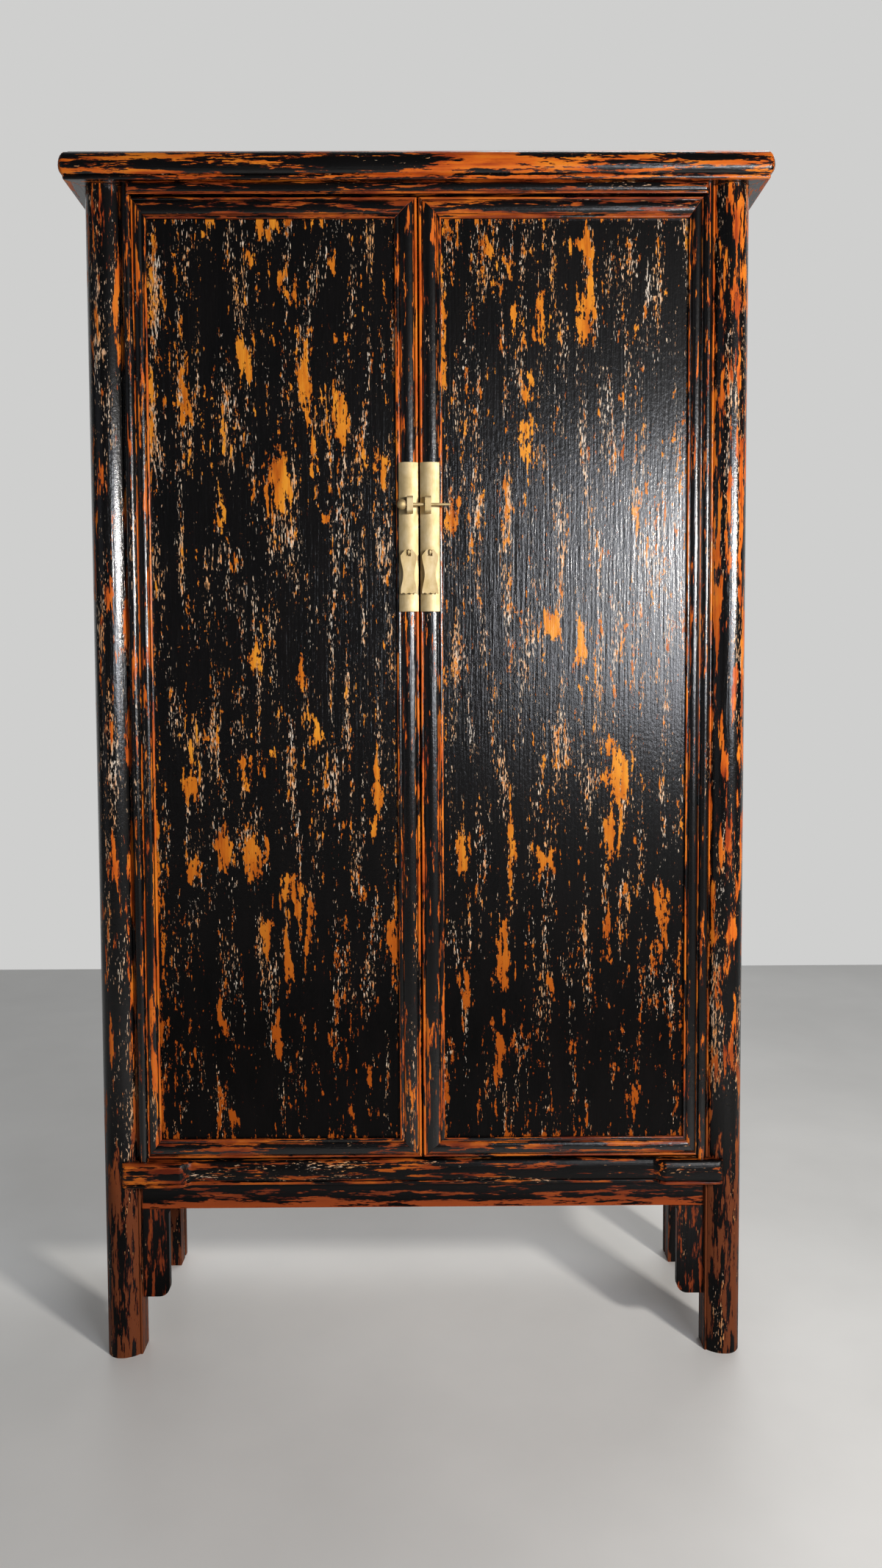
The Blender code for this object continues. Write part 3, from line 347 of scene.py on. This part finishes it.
# %% [markdown]
# ## One finish for each kind of member
# On the real cabinet the wear differs from piece to piece: the cap and the rails are rubbed along their length,
# the posts show long patches, the feet have gone red, and the door panels are mostly black with scattered chips.
# The recipe is the same, and only the grain, the size of the chips, the limit and the ground colours change.

# %% Mix the lacquers
ORANGE_GROUND = ("#8C3514", "#BF5A19", "#CC7320")
RED_GROUND = ("#451B10", "#6C2E18", "#90441C")
RUST_GROUND = ("#5A2010", "#883C17", "#BC631D")
OCHRE_GROUND = ("#9C4C12", "#BE6C1A", "#CE8728")
POST_FOOT = {"from": 0.56, "to": 0.26, "wear": 0.17, "colour": "#69371F"}
RIGHT_FOOT = {"from": 0.56, "to": 0.26, "wear": 0.07, "colour": "#69371F"}
PANEL_LOW = {"from": 0.95, "to": 0.52, "wear": 0.0, "colour": "#9C4A10"}
APRON_EDGE = {"from": 0.262, "to": 0.236, "wear": 0.22, "colour": "#8C3F1C"}
SPANDREL_EDGE = {"from": 0.24, "to": 0.09, "wear": 0.03, "colour": "#7A3519"}
lacquers = {
    "post": worn_lacquer("lacquer_post", "z", (11, 80), 0.18, ORANGE_GROUND, POST_COAT, low=POST_FOOT),
    "right_post": worn_lacquer("lacquer_right_post", "z", (11, 80), 0.09, ORANGE_GROUND, POST_COAT, low=RIGHT_FOOT),
    "upright_frame": worn_lacquer("lacquer_upright_frame", "z", (8, 80), 0.20, ORANGE_GROUND, field=0.40, arris=0.30),
    "cross_frame": worn_lacquer("lacquer_cross_frame", "x", (8, 80), 0.145, RUST_GROUND, field=0.40, arris=0.30),
    "cap": worn_lacquer("lacquer_cap", "x", (13, 150), 0.07, ORANGE_GROUND, field=0.4),
    "cap_end": worn_lacquer("lacquer_cap_end", "y", (13, 150), 0.14, ORANGE_GROUND, field=0.4),
    "rail": worn_lacquer("lacquer_rail", "x", (8, 85), 0.10, RUST_GROUND, DULL_COAT, field=0.42),
    "foot": worn_lacquer("lacquer_foot", "z", (9, 70), 0.17, RED_GROUND, DULL_COAT, field=0.40, low=SPANDREL_EDGE),
    "apron": worn_lacquer("lacquer_apron", "x", (9, 90), 0.14, RED_GROUND, DULL_COAT, field=0.40, low=APRON_EDGE),
    "side_rail": worn_lacquer("lacquer_side_rail", "y", (9, 90), 0.13, RED_GROUND, DULL_COAT, field=0.40),
    "side_panel": worn_lacquer("lacquer_side_panel", "z", (9, 45), 0.20, ORANGE_GROUND, PANEL_COAT),
    "top_panel": worn_lacquer("lacquer_top_panel", "x", (9, 45), 0.20, RED_GROUND, PANEL_COAT),
    "door_panel": worn_lacquer("lacquer_door_panel", "z", (7, 34), 0.245, OCHRE_GROUND, PANEL_COAT, 0.51,
                               low=PANEL_LOW, painted=True),
}
print("lacquers:", sorted(lacquers))

# %% [markdown]
# ## Raw elm and brass
# Inside, the boards are bare elm that was planed by hand, with darker growth rings and a dry surface.
# The fittings are old yellow brass, cast and filed flat, then rubbed by fingers to a satin.
# Satin comes from many fine scratches, so the roughness is high for a metal and varies a little.

# %% Mix the elm and the brass
def raw_elm(name, grain):
    """Bare planed elm with its rings along one axis."""
    material, tree, shader = new_finish(name)
    place = add(tree, "ShaderNodeTexCoord").outputs["Object"]
    board = add(tree, "ShaderNodeMapping", {"Vector": place, "Scale": grain_size(grain, 55, 700)})
    rings = add(tree, "ShaderNodeTexNoise", {"Vector": board, "Scale": 1.0, "Detail": 2.0, "Distortion": 0.8})
    bands = add(tree, "ShaderNodeMath", {0: add(tree, "ShaderNodeMath", {0: rings, 1: 14.0}, operation="MULTIPLY")},
                operation="FRACT")
    thread = add(tree, "ShaderNodeMapping", {"Vector": place, "Scale": grain_size(grain, 1.2, 40)})
    pores = add(tree, "ShaderNodeTexNoise", {"Vector": thread, "Scale": 1.0, "Detail": 3.0})
    mixed = add(tree, "ShaderNodeMix", {0: 0.55, 1: bands, 2: pores}, data_type="FLOAT")
    return material, tree, shader, mixed


def finish_elm(name, grain):
    """Colour, dryness and relief of bare elm."""
    material, tree, shader, mixed = raw_elm(name, grain)
    shade = add(tree, "ShaderNodeValToRGB", {"Fac": mixed.outputs[0]},
                [(0.2, "#5F3C20"), (0.5, "#84582F"), (0.8, "#A1733F")])
    tree.links.new(shade.outputs["Color"], shader.inputs["Base Color"])
    bump = add(tree, "ShaderNodeBump", {"Height": mixed.outputs[0], "Strength": 0.4, "Distance": 0.0003})
    tree.links.new(bump.outputs["Normal"], shader.inputs["Normal"])
    shader.inputs["Roughness"].default_value = 0.62
    return material


elm = {"x": finish_elm("raw_elm_across", "x"), "y": finish_elm("raw_elm_deep", "y"),
       "z": finish_elm("raw_elm_upright", "z")}

brass, tree, shader = new_finish("satin_brass")
place = add(tree, "ShaderNodeTexCoord").outputs["Object"]
rubbed = add(tree, "ShaderNodeMapping", {"Vector": place, "Scale": per_metre(14, 14, 26)})
tarnish = add(tree, "ShaderNodeTexNoise", {"Vector": rubbed, "Scale": 1.0, "Detail": 5.0, "Roughness": 0.6})
filed = add(tree, "ShaderNodeMapping", {"Vector": place, "Scale": per_metre(0.9, 0.9, 14)})
scratches = add(tree, "ShaderNodeTexNoise", {"Vector": filed, "Scale": 1.0, "Detail": 3.0})
shade = add(tree, "ShaderNodeValToRGB", {"Fac": tarnish}, [(0.3, "#B5A173"), (0.5, "#C8B48A"), (0.72, "#D7C7A4")])
tree.links.new(shade.outputs["Color"], shader.inputs["Base Color"])
satin = add(tree, "ShaderNodeMapRange", {"Value": scratches, "To Min": 0.60, "To Max": 0.74})
tree.links.new(satin.outputs[0], shader.inputs["Roughness"])
bump = add(tree, "ShaderNodeBump", {"Height": scratches, "Strength": 0.12, "Distance": 0.0002})
tree.links.new(bump.outputs["Normal"], shader.inputs["Normal"])
shader.inputs["Metallic"].default_value = 1.0
print("elm:", sorted(elm), "metal:", brass.name)

# %% [markdown]
# ## Softened copies
# Every wooden piece of the solid model has knife-sharp edges and is made of loose triangles.
# Nothing on an old cabinet is that sharp, so each piece is copied, its triangles are joined into clean faces,
# and a Bevel modifier rounds what is sharper than forty degrees.
# Where the surface turns sharply outward, hands rub it most: a number for that is kept on every face,
# and the lacquer reads it. On the door poles the half that looks towards the post is kept black:
# hands can't reach it there, and the black is also painted shade for the dark gap beside the post.

# %% Helpers for pieces
SHARP = radians(40)
RUBBED_TURN = 450.0
SHADED_UNRUBBED_FACING = 0.25
WELD = 0.00002


def alone(piece):
    """Select one piece and nothing else."""
    bpy.ops.object.select_all(action="DESELECT")
    piece.select_set(True)
    bpy.context.view_layer.objects.active = piece


def apply(piece, kind, **settings):
    """Add a modifier and apply it at once."""
    alone(piece)
    modifier = piece.modifiers.new(kind.lower(), kind)
    for key, value in settings.items():
        setattr(modifier, key, value)
    bpy.ops.object.modifier_apply(modifier=modifier.name)


def copy_of(node, name):
    """A clean copy of a CAD node, with its triangles joined into faces."""
    piece = bpy.data.objects.new(name, frame["nodes"][node].data.copy())
    piece.data.materials.clear()
    scene.collection.objects.link(piece)
    alone(piece)
    bpy.ops.object.mode_set(mode="EDIT")
    bpy.ops.mesh.select_all(action="SELECT")
    bpy.ops.mesh.remove_doubles(threshold=WELD)
    bpy.ops.mesh.customdata_custom_splitnormals_clear()
    bpy.ops.mesh.dissolve_limited(angle_limit=radians(0.6))
    bpy.ops.object.mode_set(mode="OBJECT")
    return piece


def mark_arrises(piece, shaded_unrubbed_side=None):
    """Keep on each face how sharply it turns outward, from 0 to 1, or -1 where it stays unrubbed black, partly as
    painted shade.
    """
    bm = bmesh.new()
    bm.from_mesh(piece.data)
    layer = bm.faces.layers.float.new("arris")
    for face in bm.faces:
        centre = face.calc_center_median()
        turning = 0.0
        for edge in face.edges:
            if len(edge.link_faces) != 2:
                continue
            start, end = (v.co for v in edge.verts)
            along = (end - start).normalized()
            reach = (centre - start - along * (centre - start).dot(along)).length
            turning += edge.calc_face_angle_signed(0.0) / max(reach, 0.00005) / 4
        face[layer] = min(max(turning / RUBBED_TURN, 0.0), 1.0)
        # Faces that look the given way stay black: unrubbed, and partly painted shade for the gap beside the post.
        if shaded_unrubbed_side and face.normal.dot(shaded_unrubbed_side) > SHADED_UNRUBBED_FACING:
            face[layer] = -1.0
    bm.to_mesh(piece.data)
    bm.free()


def dress(piece, node, material, shaded_unrubbed_side=None):
    """Shade a finished piece, give it its finish and let it stand for its node."""
    mark_arrises(piece, shaded_unrubbed_side)
    alone(piece)
    bpy.ops.object.shade_smooth_by_angle(angle=SHARP)
    apply(piece, "WEIGHTED_NORMAL", keep_sharp=True)
    piece.data.materials.append(material)
    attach(piece, body_of_node[node])
    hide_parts(node)


def softened(node, radius, material, shaded_unrubbed_side=None, shape=None):
    """A copy of a node with rounded edges; faces that look the given way stay unrubbed black, partly as painted
    shade.
    """
    piece = copy_of(node, f"{node}_worn")
    if shape:
        shape(piece)
    apply(piece, "BEVEL", width=radius, segments=2, limit_method="ANGLE", angle_limit=SHARP)
    dress(piece, node, material, shaded_unrubbed_side)
    return piece


# %% [markdown]
# ## Corners of the cap
# The solid cap has square mitred corners, but on the real one they are worn round.
# A Bevel modifier can't do this, because each corner belongs to two rails that meet in a mitre.
# So a rail is cut across near its ends, and the points beyond the start of the corner are drawn in:
# squares about the corner's centre become quarter circles. Points on the mitre stay on its diagonal,
# so the two rails still meet.

# %% Round the corners of the cap
CORNER_ROUND = 0.009
CORNER_CUTS = 4


def draw_in_corners(piece, length_axis):
    """Draw in the two outer corners of a cap rail, which runs along one axis, to quarter circles."""
    alone(piece)
    bpy.ops.object.mode_set(mode="EDIT")
    across = Vector([1.0 if axis == length_axis else 0.0 for axis in range(3)])
    for end in (-1, 1):
        for cut in range(CORNER_CUTS):
            inset = CORNER_ROUND * (1 - tan(cut / CORNER_CUTS * pi / 4))
            bpy.ops.mesh.select_all(action="SELECT")
            bpy.ops.mesh.bisect(plane_co=across * end * (cad_high[length_axis] - inset), plane_no=across)
    bpy.ops.object.mode_set(mode="OBJECT")
    for point in piece.data.vertices:
        start = [cad_high[axis] - CORNER_ROUND for axis in (0, 1)]
        beyond = [abs(point.co[axis]) - start[axis] for axis in (0, 1)]
        if min(beyond) > 0:
            drawn = max(beyond) / hypot(*beyond)
            for axis in (0, 1):
                side = 1 if point.co[axis] > 0 else -1
                point.co[axis] = side * (start[axis] + beyond[axis] * drawn)


# %% [markdown]
# ## Case
# The posts are round outside and square inside, and the cap, rails and aprons run between them.
# Their section is right in the solid model already, so softened copies are enough.
# Moulded pieces have thin beads, which allow only a small radius, and plain boards take a larger one.

# %% Dress the case
FINE = 0.0003
BROAD = 0.0014
case = {
    "post": ["front_left_post", "rear_left_post", "rear_right_post"],
    "right_post": ["front_right_post"],
    "cap": ["cap_front_rail", "cap_rear_rail"],
    "cap_end": ["cap_left_rail", "cap_right_rail"],
    "cross_frame": ["top_front_rail", "top_rear_rail"],
    "rail": ["base_front_rail", "base_rear_rail"],
    "side_rail": ["base_left_rail", "base_right_rail", "left_apron", "right_apron"],
    "apron": ["front_apron"],
    "foot": ["front_left_spandrel", "front_right_spandrel", "left_front_spandrel", "left_rear_spandrel",
             "right_front_spandrel", "right_rear_spandrel"],
    "side_panel": ["left_side_panel", "right_side_panel", "back_muntin"],
    "top_panel": ["cap_panel"],
}
plain = {"side_rail", "apron", "foot", "side_panel", "top_panel"}
shapes = {"cap": partial(draw_in_corners, length_axis=AXES["x"]),
          "cap_end": partial(draw_in_corners, length_axis=AXES["y"])}
for finish, nodes in case.items():
    radius = BROAD if finish in plain else FINE
    for node in nodes:
        softened(node, radius, lacquers[finish], shape=shapes.get(finish))
boards = {
    "x": ["floor_board", "lower_shelf", "upper_shelf"],
    "y": ["lower_left_bearer", "lower_right_bearer", "upper_left_bearer", "upper_right_bearer", "cap_batten"],
    "z": ["left_back_panel", "right_back_panel"],
}
for grain, nodes in boards.items():
    for node in nodes:
        softened(node, BROAD, elm[grain])

# %% [markdown]
# ## Doors
# Each door is a mitred frame round a floating panel, with a round pole on its outer stile that turns in the case.
# The panels carry most of the cabinet's character, so their wear is placed one by one:
# the panel is cut into a fine net, and each of its points gets a number for how much lacquer is gone there.
# The places below are given in hundredths of the panel's width from the left and of its height from the top,
# with half the width and half the height of the chip in millimetres.

# %% Dress the door frames
# The half of each pole that looks towards the post stays black: hands can't reach it, and the black is also painted
# shade for the gap beside the post.
POST_SIDE = {"left": Vector((-1, 0, 0)), "right": Vector((1, 0, 0))}
for side in ("left", "right"):
    softened(f"{side}_door_pivot_stile", FINE, lacquers["upright_frame"], POST_SIDE[side])
    softened(f"{side}_door_meeting_stile", FINE, lacquers["upright_frame"])
    for member in ("top_rail", "bottom_rail"):
        softened(f"{side}_door_{member}", FINE, lacquers["cross_frame"])
    for member in ("lower_batten", "upper_batten"):
        softened(f"{side}_door_{member}", BROAD, elm["x"])

# %% Chips on the door panels
CHIPS = {
    "left": [
        (25, 1, 26, 8), (50, 1, 29, 9), (69, 1, 24, 9), (43, 4, 11, 13), (56, 7, 22, 15), (75, 4, 7, 33),
        (13, 15, 7, 26), (39, 15, 13, 32), (63, 17, 8, 45), (50, 14, 7, 15), (15, 20, 8, 26), (30, 20, 5, 22),
        (78, 21, 13, 46), (53, 27, 22, 44), (67, 26, 8, 19), (93, 25, 11, 29), (28, 31, 8, 28), (71, 31, 11, 13),
        (32, 36, 8, 16), (41, 46, 9, 19), (59, 48, 5, 22), (13, 60, 13, 37), (14, 69, 10, 37), (26, 68, 15, 32),
        (35, 58, 8, 24), (46, 57, 12, 19), (67, 54, 12, 24), (91, 62, 8, 57), (40, 68, 19, 21), (54, 72, 21, 24),
        (53, 79, 7, 65), (45, 76, 11, 28), (62, 75, 9, 33), (98, 77, 11, 45), (48, 87, 11, 39), (24, 87, 10, 15),
        (13, 92, 9, 14), (23, 96, 7, 39), (29, 98, 9, 13), (89, 94, 9, 16),
    ],
    "right": [
        (20, 3, 8, 22), (27, 5, 7, 19), (29, 10, 8, 37), (39, 10, 8, 46), (56, 3, 29, 9), (58, 9, 15, 50),
        (36, 18, 12, 29), (34, 23, 13, 26), (6, 31, 7, 46), (1, 12, 7, 57), (45, 43, 20, 22), (57, 46, 11, 40),
        (47, 65, 11, 14), (42, 69, 13, 20), (72, 59, 22, 40), (70, 66, 17, 33), (28, 67, 5, 65), (8, 67, 13, 50),
        (93, 74, 16, 40), (69, 76, 5, 50), (25, 79, 11, 45), (89, 79, 8, 21), (10, 83, 10, 22), (46, 83, 7, 17),
        (25, 86, 5, 17), (23, 91, 7, 32), (82, 95, 9, 21),
    ],
}
NET_CUTS = {"along": 228, "across": 62}
CHIP_GAIN = 0.42
BORDER_MM = 9.0
BORDER_GAIN = 0.10
DRIFT_CELL = (12.0, 40.0)
DRIFT_MM = (10.0, 50.0)
DRIFT_SEED = 7


def cut_long_edges(piece, direction, cuts):
    """Cut every edge that runs along one axis into equal lengths."""
    alone(piece)
    bpy.ops.object.mode_set(mode="EDIT")
    bpy.ops.mesh.select_mode(type="EDGE")
    bpy.ops.mesh.select_all(action="DESELECT")
    bpy.ops.object.mode_set(mode="OBJECT")
    points = piece.data.vertices
    for edge in piece.data.edges:
        run = points[edge.vertices[1]].co - points[edge.vertices[0]].co
        edge.select = abs(run.normalized()[direction]) > 0.9
    bpy.ops.object.mode_set(mode="EDIT")
    bpy.ops.mesh.subdivide(number_cuts=cuts)
    bpy.ops.object.mode_set(mode="OBJECT")


def paint_chips(piece, chips, visible_low, visible_high):
    """Store on each point of a panel how far its lacquer is worn."""
    wear = piece.data.attributes.new("chips", "FLOAT", "POINT")
    width = visible_high.x - visible_low.x
    height = visible_high.z - visible_low.z
    for point, value in zip(piece.data.vertices, wear.data):
        across = (point.co.x - visible_low.x) * 1000
        down = (visible_high.z - point.co.z) * 1000
        drift = noise_vector(Vector((across / DRIFT_CELL[0], down / DRIFT_CELL[1], 0.0)))
        worn = 0.0
        for u, v, half_wide, half_high in chips:
            dx = (across + drift.x * DRIFT_MM[0] - u * width * 10) / half_wide
            dz = (down + drift.y * DRIFT_MM[1] - v * height * 10) / half_high
            worn = max(worn, min((1.5 - dx * dx - dz * dz) / 1.3, 1.0))
        margin = min(across, width * 1000 - across, down, height * 1000 - down)
        border = max(0.0, 1.0 - margin / BORDER_MM)
        value.value = CHIP_GAIN * max(worn, 0.0) + BORDER_GAIN * border


seed_set(DRIFT_SEED)
for side in ("left", "right"):
    node = f"{side}_door_panel"
    panel = copy_of(node, f"{node}_worn")
    cut_long_edges(panel, AXES["z"], NET_CUTS["along"])
    cut_long_edges(panel, AXES["x"], NET_CUTS["across"])
    stile_low, stile_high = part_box(f"{side}_door_meeting_stile")
    pole_low, pole_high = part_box(f"{side}_door_pivot_stile")
    rail_low, rail_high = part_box(f"{side}_door_top_rail")
    foot_low, foot_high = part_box(f"{side}_door_bottom_rail")
    inner = (pole_high.x, stile_low.x) if side == "left" else (stile_high.x, pole_low.x)
    low = Vector((min(inner), 0, foot_high.z))
    high = Vector((max(inner), 0, rail_low.z))
    paint_chips(panel, CHIPS[side], low, high)
    dress(panel, node, lacquers["door_panel"])
    print(node, "faces:", len(panel.data.polygons))

# %% [markdown]
# ## Brass
# Two curved plates cover the meeting stiles, each with a lug for the pin and an eye that a pull hangs from.
# Plates, lugs, pulls and the pin keep their solid shape with filed edges.
# The eye is really a bent split wire, so a ring that is turned from a torus takes the place of the flat washer.

# %% Dress the brass
FILED = 0.0004
for side in ("left", "right"):
    for fitting in ("face_plate", "lug", "pull"):
        softened(f"{side}_{fitting}", FILED, brass)
softened("lock_pin", FINE, brass)

# %% Turn the eyes
WIRE = 0.0011
for side in ("left", "right"):
    node = f"{side}_pull_eye"
    low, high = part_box(node)
    middle = (low + high) / 2
    ring = (high.z - low.z) / 2 - WIRE
    bpy.ops.object.select_all(action="DESELECT")
    bpy.ops.mesh.primitive_torus_add(major_radius=ring, minor_radius=WIRE, major_segments=32, minor_segments=12)
    eye = bpy.context.object
    eye.name = f"{side}_pull_eye_ring"
    bpy.ops.object.mode_set(mode="EDIT")
    bpy.ops.mesh.select_all(action="SELECT")
    bpy.ops.transform.resize(value=(1.0, 1.0, 1.5))
    bpy.ops.object.mode_set(mode="OBJECT")
    eye.data.transform(Matrix.Translation(middle) @ Matrix.Rotation(pi / 2, 4, "Y"))
    eye.location = (0, 0, 0)
    dress(eye, node, brass)
